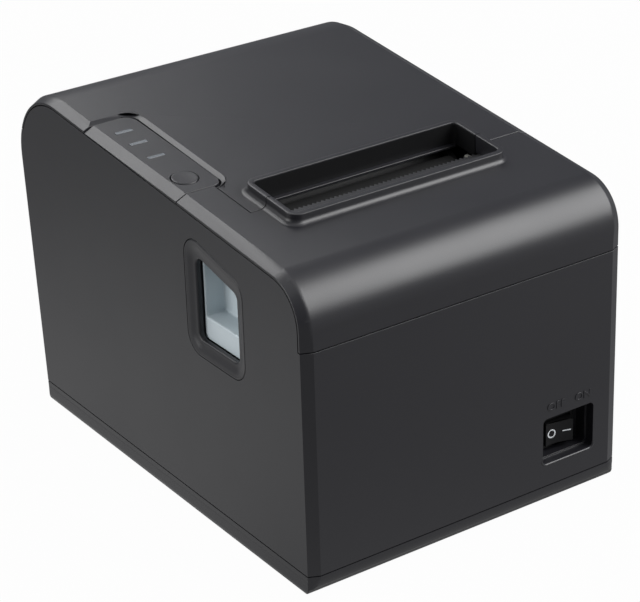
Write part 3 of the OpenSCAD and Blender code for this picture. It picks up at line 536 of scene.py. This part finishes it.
def ceramic():
    return plastic("ceramic", (0.72, 0.7, 0.64), 0.2, bump=0.01, shift=0.03)


def mark_paint():
    return plastic("mark_paint", (0.6, 0.62, 0.64), 0.5, bump=0.02, shift=0.03)


FINISH = {
    "case_plastic": case_plastic,
    "inner_plastic": inner_plastic,
    "lever_plastic": lever_plastic,
    "light_plastic": light_plastic,
    "gear_plastic": gear_plastic,
    "rubber": rubber,
    "steel": steel,
    "brass": brass,
    "bushing": brass,
    "board": board,
    "ceramic": ceramic,
    "head_metal": head_metal,
}


def finish_of(node):
    return FINISH[SLOT_OF[node]]()


# ---- settings ----


def colour(name, description, default):
    return bpy.props.FloatVectorProperty(
        name=name, description=description, default=default, subtype="COLOR", size=3, min=0, max=1
    )


def length(name, description, default):
    return bpy.props.FloatProperty(
        name=name, description=description, default=default, unit="LENGTH", min=0
    )


class PrinterColours(bpy.types.PropertyGroup):
    """Colours and gloss of the mouldings"""

    case: colour("Case", "Charcoal of the outer shells", (0.0102, 0.0101, 0.0125))
    inner: colour("Inside", "Black of the inner mouldings", (0.006, 0.006, 0.0065))
    lever: colour("Lever", "Grey blue of the open lever", (0.56, 0.63, 0.66))
    lights: colour("Lights", "Frosted light pipes", (0.1, 0.11, 0.12))
    case_roughness: bpy.props.FloatProperty(
        name="Case roughness", description="Roughness of the outer shells", default=0.37, min=0, max=1,
        subtype="FACTOR",
    )


class PrinterSizes(bpy.types.PropertyGroup):
    """Sizes that the dressing adds to the shells"""

    shell_edge: length("Shell edge", "Rounding at the edges of the outer shells", 0.14 * MM)
    fine_edge: length("Fine edge", "Rounding at the edges of small pieces", 0.2 * MM)


class PrinterStage(bpy.types.PropertyGroup):
    """Camera and lights"""

    azimuth: bpy.props.FloatProperty(
        name="Azimuth", description="Angle of the view round the printer", default=math.radians(-33.98),
        subtype="ANGLE",
    )
    elevation: bpy.props.FloatProperty(
        name="Elevation", description="Angle of the view above the table", default=math.radians(25.98),
        subtype="ANGLE",
    )
    roll: bpy.props.FloatProperty(
        name="Roll", description="Turn of the camera about its own line of sight",
        default=math.radians(-1.82), subtype="ANGLE",
    )
    distance: length("Distance", "From the camera to the middle of the view", 0.97938)
    aim_up: length("Aim", "How far the view is centred above the base seam", 0.04731)
    key: bpy.props.FloatProperty(
        name="Key", description="Power of the large lamp at the front right", default=40.0, min=0
    )
    rear: bpy.props.FloatProperty(
        name="Rear", description="Power of the large lamp above the rear", default=12.0, min=0
    )
    side: bpy.props.FloatProperty(
        name="Side", description="Power of the lamp on the left", default=9.0, min=0
    )
    top: bpy.props.FloatProperty(
        name="Top", description="Power of the wide lamp overhead", default=4.5, min=0
    )


# ---- operators ----


class PRINTER_OT_stage(bpy.types.Operator):
    """Camera, soft lamps and a pale floor that shows white"""

    bl_idname = "printer.stage"
    bl_label = "Stage"

    def execute(self, context):
        settings = context.scene.printer_stage
        self.camera(context, settings)
        self.floor(context)
        self.world(context)
        self.lamps(context, settings)
        context.scene.view_settings.view_transform = "Standard"
        return {"FINISHED"}

    def camera(self, context, settings):
        """A camera that looks along (azimuth, elevation) at a place above the seam, turned by the roll."""
        sensor, lens = 36.0, 135.33
        target = np.array([0.0, -2.93 * MM, SEAM_Z])
        a, e, r = settings.azimuth, settings.elevation, settings.roll
        back = np.array([math.sin(a) * math.cos(e), -math.cos(a) * math.cos(e), math.sin(e)])
        right = np.array([math.cos(a), math.sin(a), 0.0])
        up = np.cross(back, right)
        turned_right = math.cos(r) * right + math.sin(r) * up
        turned_up = -math.sin(r) * right + math.cos(r) * up
        centre = settings.aim_up * turned_up + settings.distance * back
        centre = centre + target
        data = bpy.data.cameras.new("camera")
        data.sensor_width = sensor
        data.lens = lens
        data.clip_start = 0.01
        data.clip_end = 20.0
        camera = bpy.data.objects.new("camera", data)
        turn = np.column_stack([turned_right, turned_up, back])
        camera.matrix_world = Matrix.Translation(Vector(centre)) @ Matrix(turn.tolist()).to_4x4()
        context.scene.collection.objects.link(camera)
        context.scene.camera = camera

    def floor(self, context):
        """A grey floor under the printer that the camera and near mirrored rays see as white."""
        reach, grey = 6.0, 0.18
        seen, mirrored_near, mirrored_far = 0.98, 0.58, 0.02
        middle, near_end, far_start = (-0.07, 0.06, 0.0), 0.04, 0.34
        corners = [(-reach, -reach, 0), (reach, -reach, 0), (reach, reach, 0), (-reach, reach, 0)]
        mesh = bpy.data.meshes.new("floor")
        mesh.from_pydata(corners, [], [(0, 1, 2, 3)])
        floor = bpy.data.objects.new("floor", mesh)
        context.scene.collection.objects.link(floor)
        material = bpy.data.materials.new("floor")
        material.use_nodes = True
        tree = material.node_tree
        plain = tree.nodes["Principled BSDF"]
        plain.inputs["Base Color"].default_value = (grey, grey, grey, 1)
        plain.inputs["Roughness"].default_value = 0.9
        light_path = tree.nodes.new("ShaderNodeLightPath")
        white = tree.nodes.new("ShaderNodeEmission")
        white.inputs["Strength"].default_value = 1.0
        # the camera meets almost only the white, and what mirrors the floor meets more of it near the middle
        mirrored = tree.nodes.new("ShaderNodeMath")
        mirrored.operation = "MAXIMUM"
        place = tree.nodes.new("ShaderNodeTexCoord")
        away = tree.nodes.new("ShaderNodeVectorMath")
        away.operation = "DISTANCE"
        away.inputs[1].default_value = middle
        near = tree.nodes.new("ShaderNodeMapRange")
        near.interpolation_type = "SMOOTHSTEP"
        near.inputs["From Min"].default_value = near_end
        near.inputs["From Max"].default_value = far_start
        near.inputs["To Min"].default_value = mirrored_near
        near.inputs["To Max"].default_value = mirrored_far
        faint = tree.nodes.new("ShaderNodeMath")
        faint.operation = "MULTIPLY"
        share = tree.nodes.new("ShaderNodeMath")
        share.operation = "MULTIPLY_ADD"
        share.inputs[1].default_value = seen
        mix = tree.nodes.new("ShaderNodeMixShader")
        link = tree.links.new
        link(light_path.outputs["Is Glossy Ray"], mirrored.inputs[0])
        link(light_path.outputs["Is Transmission Ray"], mirrored.inputs[1])
        link(place.outputs["Object"], away.inputs[0])
        link(away.outputs["Value"], near.inputs["Value"])
        link(mirrored.outputs[0], faint.inputs[0])
        link(near.outputs["Result"], faint.inputs[1])
        link(light_path.outputs["Is Camera Ray"], share.inputs[0])
        link(faint.outputs[0], share.inputs[2])
        link(share.outputs[0], mix.inputs["Fac"])
        link(plain.outputs[0], mix.inputs[1])
        link(white.outputs[0], mix.inputs[2])
        link(mix.outputs[0], tree.nodes["Material Output"].inputs["Surface"])
        mesh.materials.append(material)

    def world(self, context):
        """Soft even light from all round, which the camera sees as white."""
        world = bpy.data.worlds.new("studio")
        context.scene.world = world
        world.use_nodes = True
        tree = world.node_tree
        link = tree.links.new
        plain = tree.nodes["Background"]
        plain.inputs["Color"].default_value = (0.9, 0.93, 1.0, 1)
        plain.inputs["Strength"].default_value = 0.23
        white = tree.nodes.new("ShaderNodeBackground")
        white.inputs["Color"].default_value = (1, 1, 1, 1)
        light_path = tree.nodes.new("ShaderNodeLightPath")
        mix = tree.nodes.new("ShaderNodeMixShader")
        link(light_path.outputs["Is Camera Ray"], mix.inputs["Fac"])
        link(plain.outputs[0], mix.inputs[1])
        link(white.outputs[0], mix.inputs[2])
        link(mix.outputs[0], tree.nodes["World Output"].inputs["Surface"])

    def lamps(self, context, settings):
        """Four soft lamps, each with its place, the place it points at, its size and its power."""
        self.lamp(context, "key", (0.92, -0.83, 0.96), (0, -0.05, 0.08), 1.5, 1.2, settings.key)
        self.lamp(context, "rear", (-0.05, 0.95, 1.1), (0, 0.02, 0.1), 1.1, 0.8, settings.rear)
        self.lamp(context, "side", (-1.25, 0.3, 0.45), (0, 0, 0.05), 0.9, 0.9, settings.side)
        self.lamp(context, "top", (-0.1, -0.25, 1.55), (0, 0, 0.05), 1.2, 1.4, settings.top)

    def lamp(self, context, name, place, aim, width, depth, power):
        data = bpy.data.lights.new(name, "AREA")
        data.shape = "RECTANGLE"
        data.size = width
        data.size_y = depth
        data.energy = power
        lamp = bpy.data.objects.new(name, data)
        way = Vector(aim) - Vector(place)
        lamp.location = place
        lamp.rotation_euler = way.to_track_quat("-Z", "Y").to_euler()
        context.scene.collection.objects.link(lamp)


class PRINTER_OT_shells(bpy.types.Operator):
    """Outer shells with soft edges: base tray, case, lid, front cover and indicator panel"""

    bl_idname = "printer.shells"
    bl_label = "Shells"

    def execute(self, context):
        edge = context.scene.printer_sizes.shell_edge
        self.tray_edges(moulded("base_tray", case_plastic(), 0))
        moulded("main_case", case_plastic(), 0.45 * edge)
        for node in ("lid", "front_cover", "indicator_panel"):
            shell = moulded(node, case_plastic(), edge)
        self.draw_in(shell)
        self.pocket_lip()
        return {"FINISHED"}

    def tray_edges(self, tray):
        """Tightens the rounding along the tray's lower side edges and softens its lower corners.

        A point of the wide rounding keeps its height z and moves out to
        x = w - r + sqrt(r^2 - (foot + r - z)^2), with w half the width and r the tight radius.
        A point on a facet also moves back, to stay on the facet."""
        width, segments = 1.6 * MM, 4
        mesh, foot, near = tray.data, float(TRAY_LOW[2]), 0.03 * MM
        points = np.empty(3 * len(mesh.vertices))
        mesh.vertices.foreach_get("co", points)
        points = points.reshape(-1, 3)
        x, y, z = np.abs(points[:, 0]), points[:, 1], points[:, 2]
        out, below = x - (HALF_W - TRAY_ROUND), foot + TRAY_ROUND - z
        wide = (out >= -near) & (below >= -near) & (np.abs(np.hypot(out, below) - TRAY_ROUND) <= near)
        drop = np.clip(foot + TRAY_SOFT - z, 0, TRAY_SOFT)
        side = HALF_W - TRAY_SOFT + np.sqrt(TRAY_SOFT**2 - drop**2)
        nose = np.hypot(y - FRONT_Y - TRAY_NOSE, z - foot - TRAY_NOSE) - TRAY_NOSE
        corner = wide & (np.abs(nose) < near)
        back = y.copy()
        for end, way in ((FRONT_Y, 1), (float(TRAY_HIGH[1]), -1)):
            facet = way * FACET_SLOPE
            on_facet = wide & (np.abs(y - end - facet * (x - HALF_W + FACET_RUN)) < near)
            back = np.where(on_facet, end + facet * (side - HALF_W + FACET_RUN), back)
            corner |= on_facet
        moved = np.column_stack([np.copysign(side, points[:, 0]), back, z])
        mesh.vertices.foreach_set("co", np.where(wide[:, None], moved, points).ravel())
        mesh.update()
        edges = np.empty(2 * len(mesh.edges), int)
        mesh.edges.foreach_get("vertices", edges)
        first, second = edges.reshape(-1, 2).T
        sharp = corner[first] & corner[second] & (points[first, 0] * points[second, 0] > 0)
        weight = mesh.attributes.new("bevel_weight_edge", "FLOAT", "EDGE")
        weight.data.foreach_set("value", sharp.astype(np.float32))
        bevel = tray.modifiers.new("corners", "BEVEL")
        bevel.width = width
        bevel.segments = segments
        bevel.limit_method = "WEIGHT"
        bevel.use_clamp_overlap = True
        normals = tray.modifiers.new("normals", "WEIGHTED_NORMAL")
        normals.keep_sharp = True

    def pocket_lip(self):
        """Rounded lower lip of the switch pocket: a round bar along the lower edge and its two corners."""
        steps, radius, sunk = 8, 0.65 * MM, 0.47 * MM
        path = oblong(25.7 * MM, 20.7 * MM, 2.45 * MM, steps)[: 2 * steps]
        path = path + np.array(POCKET)
        line = np.column_stack([path[:, 0], np.full(len(path), FRONT_Y + sunk), path[:, 1]])
        lip = loft("pocket_lip", tube(line, radius, 16), case_plastic(), "case")

    def draw_in(self, panel):
        """Widens the shadow gap along the inner edge of the indicator panel.

        A point moves by the full gap within 0.6 mm of that edge, and by less and less up to 1.6 mm away."""
        gap, reach = 0.45 * MM, 1.6
        vertices = panel.data.vertices
        points = np.empty(3 * len(vertices))
        vertices.foreach_get("co", points)
        x = points[0::3]
        x -= gap * np.clip((x - x.max()) / MM + reach, 0, 1)
        vertices.foreach_set("co", points)
        panel.data.update()


class PRINTER_OT_rim(bpy.types.Operator):
    """Raised rim round the paper exit in two halves, and a near-black skin inside the exit's rear half,
    painted shade of the exit
    """

    bl_idname = "printer.rim"
    bl_label = "Exit rim"

    def execute(self, context):
        # each section point: how far outside the rim's outline, how high off the top face
        section = np.vstack([
            arc((2.25, 2.24), 2.2, 270, 180, 12),
            arc((-0.45, 3.57), 0.5, 0, 90, 6),
            arc((-1.85, 3.57), 0.5, 90, 180, 6),
            [(-2.35, -1.4), (1.9, -1.4)],
        ]) * MM
        for name, body, side in (("rim_rear", "lid", 1), ("rim_front", "cover", -1)):
            lines = [self.half_outline(grow, high, side) for grow, high in section]
            half = loft(name, np.swapaxes(np.array(lines), 0, 1), case_plastic(), body, smooth=35)
        # the section of a near-black skin over the inner wall of the exit's rear half, painted shade, in the
        # same measures
        skin = np.array([(-2.4, 3.4), (-2.4, -4.9), (-2.3, -4.9), (-2.3, 3.4)]) * MM
        lines = [self.half_outline(grow, high, 1) for grow, high in skin]
        grid = np.swapaxes(np.array(lines), 0, 1)
        shade_skin = loft("exit_shade_skin", grid, inner_plastic(), "lid", smooth=35)
        return {"FINISHED"}

    def half_outline(self, grow, high, side):
        """The rounded oblong, grown outwards, from one upright split plane round to the other on one side."""
        x, y, r = RIM_LENGTH / 2 + grow, RIM_DEPTH / 2 + grow, RIM_CORNER + grow
        turn = 0 if side > 0 else 180
        corners = [
            arc((side * (x - r), side * (y - r)), r, turn, turn + 90, 10),
            arc((-side * (x - r), side * (y - r)), r, turn + 90, turn + 180, 10),
        ]
        split = (PART_U + side * SEAM / 2 + high * math.sin(TILT)) / math.cos(TILT) - along_at(RIM_U)
        points = np.vstack([[(side * x, split)], *corners, [(-side * x, split)]])
        return on_top(points[:, 0], along_at(RIM_U) + points[:, 1], high)


def window_outline(grow, steps=12):
    """Outline of the lever window in (y, z), grown outwards, more so at its sloping top."""
    front, rear = 43.8 * MM, 71 * MM
    low, high, rise = SEAM_Z + 69.2 * MM, SEAM_Z + 97.2 * MM, 6.2 * MM
    slope = rise / (rear - front)
    top = high + 1.34 * grow
    corners = [
        (front - grow, low - grow),
        (rear + grow, low - grow),
        (rear + grow, top + rise + slope * grow),
        (front - grow, top - slope * grow),
    ]
    points = rounded_outline(corners, 3.2 * MM + 0.85 * grow, steps)
    return points + np.array([FRONT_Y, 0.0])


class PRINTER_OT_window(bpy.types.Operator):
    """Dished ring round the lever window, swept along the window's outline"""

    bl_idname = "printer.window"
    bl_label = "Window ring"

    def execute(self, context):
        # each section: how far outside the opening, how far into the side wall
        lip = [(5.9, 1.4), (5.9, 0.35), (5.82, 0.12), (5.6, 0.0), (5.25, 0.0), (4.95, 0.1)]
        t = np.linspace(0.06, 1, 12)
        dish = np.stack([4.9 - 4.3 * t, 0.12 + 1.1 * (1 - np.cos(math.pi * t)) / 2], axis=1)
        hem = [(0.35, 1.32), (0.12, 1.55), (0.0, 1.9), (0.0, 3.3), (0.9, 3.3), (0.9, 1.4)]
        section = np.vstack([lip, dish, hem]) * MM
        rings = []
        for grow, depth in section:
            outline = window_outline(grow)
            rings.append(np.column_stack([np.full(len(outline), -HALF_W + depth), outline]))
        ring = loft(
            "window_ring", np.array(rings), case_plastic(), "case", wrap_rows=True, caps=False, smooth=50
        )
        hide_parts("lever_bezel")
        return {"FINISHED"}


class PRINTER_OT_controls(bpy.types.Operator):
    """Feed button, light pipes, open lever, power switch and its rocker"""

    bl_idname = "printer.controls"
    bl_label = "Controls"

    def execute(self, context):
        edge = context.scene.printer_sizes.fine_edge
        for node in (
            "light_pipe_rear", "light_pipe_middle", "light_pipe_front", "switch_body", "power_rocker",
        ):
            moulded(node, finish_of(node), edge)
        lever_edge = 0.7 * MM
        moulded("open_lever", finish_of("open_lever"), lever_edge, segments=4)
        self.feed_cap()
        return {"FINISHED"}

    def feed_cap(self):
        """The round feed button turned from its section: a shallow dish with a rounded edge, over its stem."""
        low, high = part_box("feed_button")
        x = (low[0] + high[0]) / 2
        radius = 5.15
        dish = [(t * (radius - 0.5), 0.02 + 0.1 * t * t) for t in np.linspace(0.02, 1, 8)]
        edge = arc((radius - 0.45, -0.33), 0.45, 85, 0, 5)
        stem = [(radius, -3.4), (1.5, -3.4), (1.5, -5), (0.1, -5)]
        section = np.vstack([dish, edge, stem]) * MM
        a = np.linspace(0, 2 * math.pi, 64, endpoint=False)[None, :]
        out, up = section[:, :1], section[:, 1:]
        rings = on_top(x + out * np.cos(a), along_at(FEED_U) + out * np.sin(a), up + 0 * a)
        cap = loft("feed_cap", rings, case_plastic(), "feed")
        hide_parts("feed_button")


class PRINTER_OT_marks(bpy.types.Operator):
    """O and a dash on the rocker, OFF and ON above its pocket"""

    bl_idname = "printer.marks"
    bl_label = "Marks"

    def execute(self, context):
        above = SEAM_Z + 32.7 * MM
        self.rocker_marks()
        for word, x in (("OFF", 41.7 * MM), ("ON", 54.9 * MM)):
            self.raised_word(word, x, above)
        return {"FINISHED"}

    def on_rocker(self, across, up, proud):
        """A point on the rocker's hollow face, in the frame.

        The face is a cylinder about an upright axis, depth = sqrt(bend^2 - across^2) - axis, and the rocker
        at rest is turned about its own upright axis, behind the front face."""
        axis, bend, behind, turn = 30.0 * MM, 25.3 * MM, 10.7 * MM, math.radians(-10)
        hollow = -axis + np.sqrt(bend**2 - across**2) - proud
        x = across * math.cos(turn) - hollow * math.sin(turn)
        y = across * math.sin(turn) + hollow * math.cos(turn)
        x, y, up = np.broadcast_arrays(x, y, up)
        return np.stack([SWITCH_X + x, FRONT_Y + behind + y, SEAM_Z + 17.7 * MM + up], axis=-1)

    def rocker_marks(self):
        """A painted ring and dash that follow the rocker's face, each 0.05 mm proud of it."""
        a = np.linspace(0, 2 * math.pi, 40, endpoint=False)
        b = np.linspace(0, 2 * math.pi, 6, endpoint=False)
        proud = 0.05 * MM * np.sin(b)[None, :]
        radius = (1.6 + 0.29 * np.cos(b)[None, :]) * MM
        across = -3.2 * MM + radius * np.cos(a)[:, None]
        up = radius * np.sin(a)[:, None]
        rings = self.on_rocker(across, up, proud)
        ring = loft("rocker_off_ring", rings, mark_paint(), "rocker", wrap_rows=True, caps=False)
        t = np.linspace(-1, 1, 9)[:, None]
        half = 0.26 * MM
        rings = self.on_rocker(3.4 * MM + 1.7 * MM * t, half * np.cos(b)[None, :], proud)
        dash = loft("rocker_on_dash", rings, mark_paint(), "rocker")

    def raised_word(self, word, x, z):
        """A word that stands proud of the front wall, in the case's own plastic."""
        text = bpy.data.curves.new(word, "FONT")
        text.body = word
        text.size = 4.4 * MM
        text.align_x = "CENTER"
        text.extrude = 0.24 * MM
        text.bevel_depth = 0.06 * MM
        text.bevel_resolution = 1
        flat = bpy.data.objects.new(word, text)
        bpy.context.scene.collection.objects.link(flat)
        bpy.context.view_layer.update()
        ready = flat.evaluated_get(bpy.context.evaluated_depsgraph_get())
        mesh = bpy.data.meshes.new_from_object(ready)
        bpy.data.objects.remove(flat)
        wide = Matrix.Diagonal((1.15, 1, 1, 1))
        upright = Matrix.Rotation(math.pi / 2, 4, "X")
        mesh.transform(Matrix.Translation((x, FRONT_Y + 0.05 * MM, z)) @ upright @ wide)
        mesh.materials.clear()
        mesh.materials.append(case_plastic())
        piece = bpy.data.objects.new("word_" + word.lower(), mesh)
        bpy.context.scene.collection.objects.link(piece)
        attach(piece, "case")


class PRINTER_OT_springs(bpy.types.Operator):
    """Coil springs of the open lever and the feed button"""

    bl_idname = "printer.springs"
    bl_label = "Springs"

    def execute(self, context):
        low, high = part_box("lever_spring")
        x, y = (low[0] + high[0]) / 2, (low[1] + high[1]) / 2
        base, head = (x, y, low[2]), (x, y, high[2])
        self.stretched("lever_coil", "lever_spring", base, head, 3, 0.35, 9, "lever")
        low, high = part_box("feed_button")
        x, feed = (low[0] + high[0]) / 2, along_at(FEED_U)
        base, head = on_top(x, feed, -8.38 * MM), on_top(x, feed, -3.42 * MM)
        self.stretched("feed_coil", "feed_spring", base, head, 4.3, 0.25, 4, "feed")
        return {"FINISHED"}

    def stretched(self, name, node, start, end, radius, wire, turns, body):
        """A coil in a node's place, from the case to a moving body.

        Its radius and its wire's radius are in millimetres."""
        start, end = [tuple(float(v) for v in place) for place in (start, end)]
        spring = loft(name, coil(start, end, radius * MM, wire * MM, turns), steel(), None)
        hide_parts(node)
        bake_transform(spring)


class PRINTER_OT_works(bpy.types.Operator):
    """Materials of the works that show as they are: roller, gears, head, cutter, bucket, board and sockets,
    with the parts inside the paper exit painted near black as painted shade
    """

    bl_idname = "printer.works"
    bl_label = "Works"

    def execute(self, context):
        shown = {n for n, o in frame["nodes"].items() if not o.hide_render}
        # painted shade: the parts that the paper exit shows are painted near black, for the shade inside the
        # exit
        exit_shade_finish = {
            "tear_blade": exit_shade_steel, "moving_blade": exit_shade_steel, "cutter_bed": exit_shade_steel,
            "platen_bearings": exit_shade_steel, "platen_gear": inner_plastic, "mechanism_frame": exit_shade_steel,
        }
        for node in sorted(shown):
            paint(node, exit_shade_finish[node]() if node in exit_shade_finish else finish_of(node))
        return {"FINISHED"}


class PRINTER_PT_panel(bpy.types.Panel):
    """Buttons that make the pieces"""

    bl_idname = "PRINTER_PT_panel"
    bl_label = "Receipt printer"
    bl_space_type = "VIEW_3D"
    bl_region_type = "UI"
    bl_category = "Printer"

    def draw(self, context):
        for settings in ("printer_sizes", "printer_colours", "printer_stage"):
            group = getattr(context.scene, settings)
            box = self.layout.box()
            for name in group.bl_rna.properties.keys():
                if name not in ("rna_type", "name"):
                    box.prop(group, name)
        for operator in OPERATORS:
            self.layout.operator(operator.bl_idname)


SETTINGS = {
    "printer_sizes": PrinterSizes,
    "printer_colours": PrinterColours,
    "printer_stage": PrinterStage,
}
OPERATORS = (
    PRINTER_OT_stage,
    PRINTER_OT_shells,
    PRINTER_OT_rim,
    PRINTER_OT_window,
    PRINTER_OT_controls,
    PRINTER_OT_marks,
    PRINTER_OT_springs,
    PRINTER_OT_works,
)


def register():
    for name, group in SETTINGS.items():
        bpy.utils.register_class(group)
        setattr(bpy.types.Scene, name, bpy.props.PointerProperty(type=group))
    for operator in OPERATORS:
        bpy.utils.register_class(operator)
    bpy.utils.register_class(PRINTER_PT_panel)


def unregister():
    bpy.utils.unregister_class(PRINTER_PT_panel)
    for operator in reversed(OPERATORS):
        bpy.utils.unregister_class(operator)
    for name, group in reversed(SETTINGS.items()):
        delattr(bpy.types.Scene, name)
        bpy.utils.unregister_class(group)


def main():
    register()
    for operator in OPERATORS:
        group, name = operator.bl_idname.split(".")
        getattr(getattr(bpy.ops, group), name)()


if __name__ == "__main__":
    main()
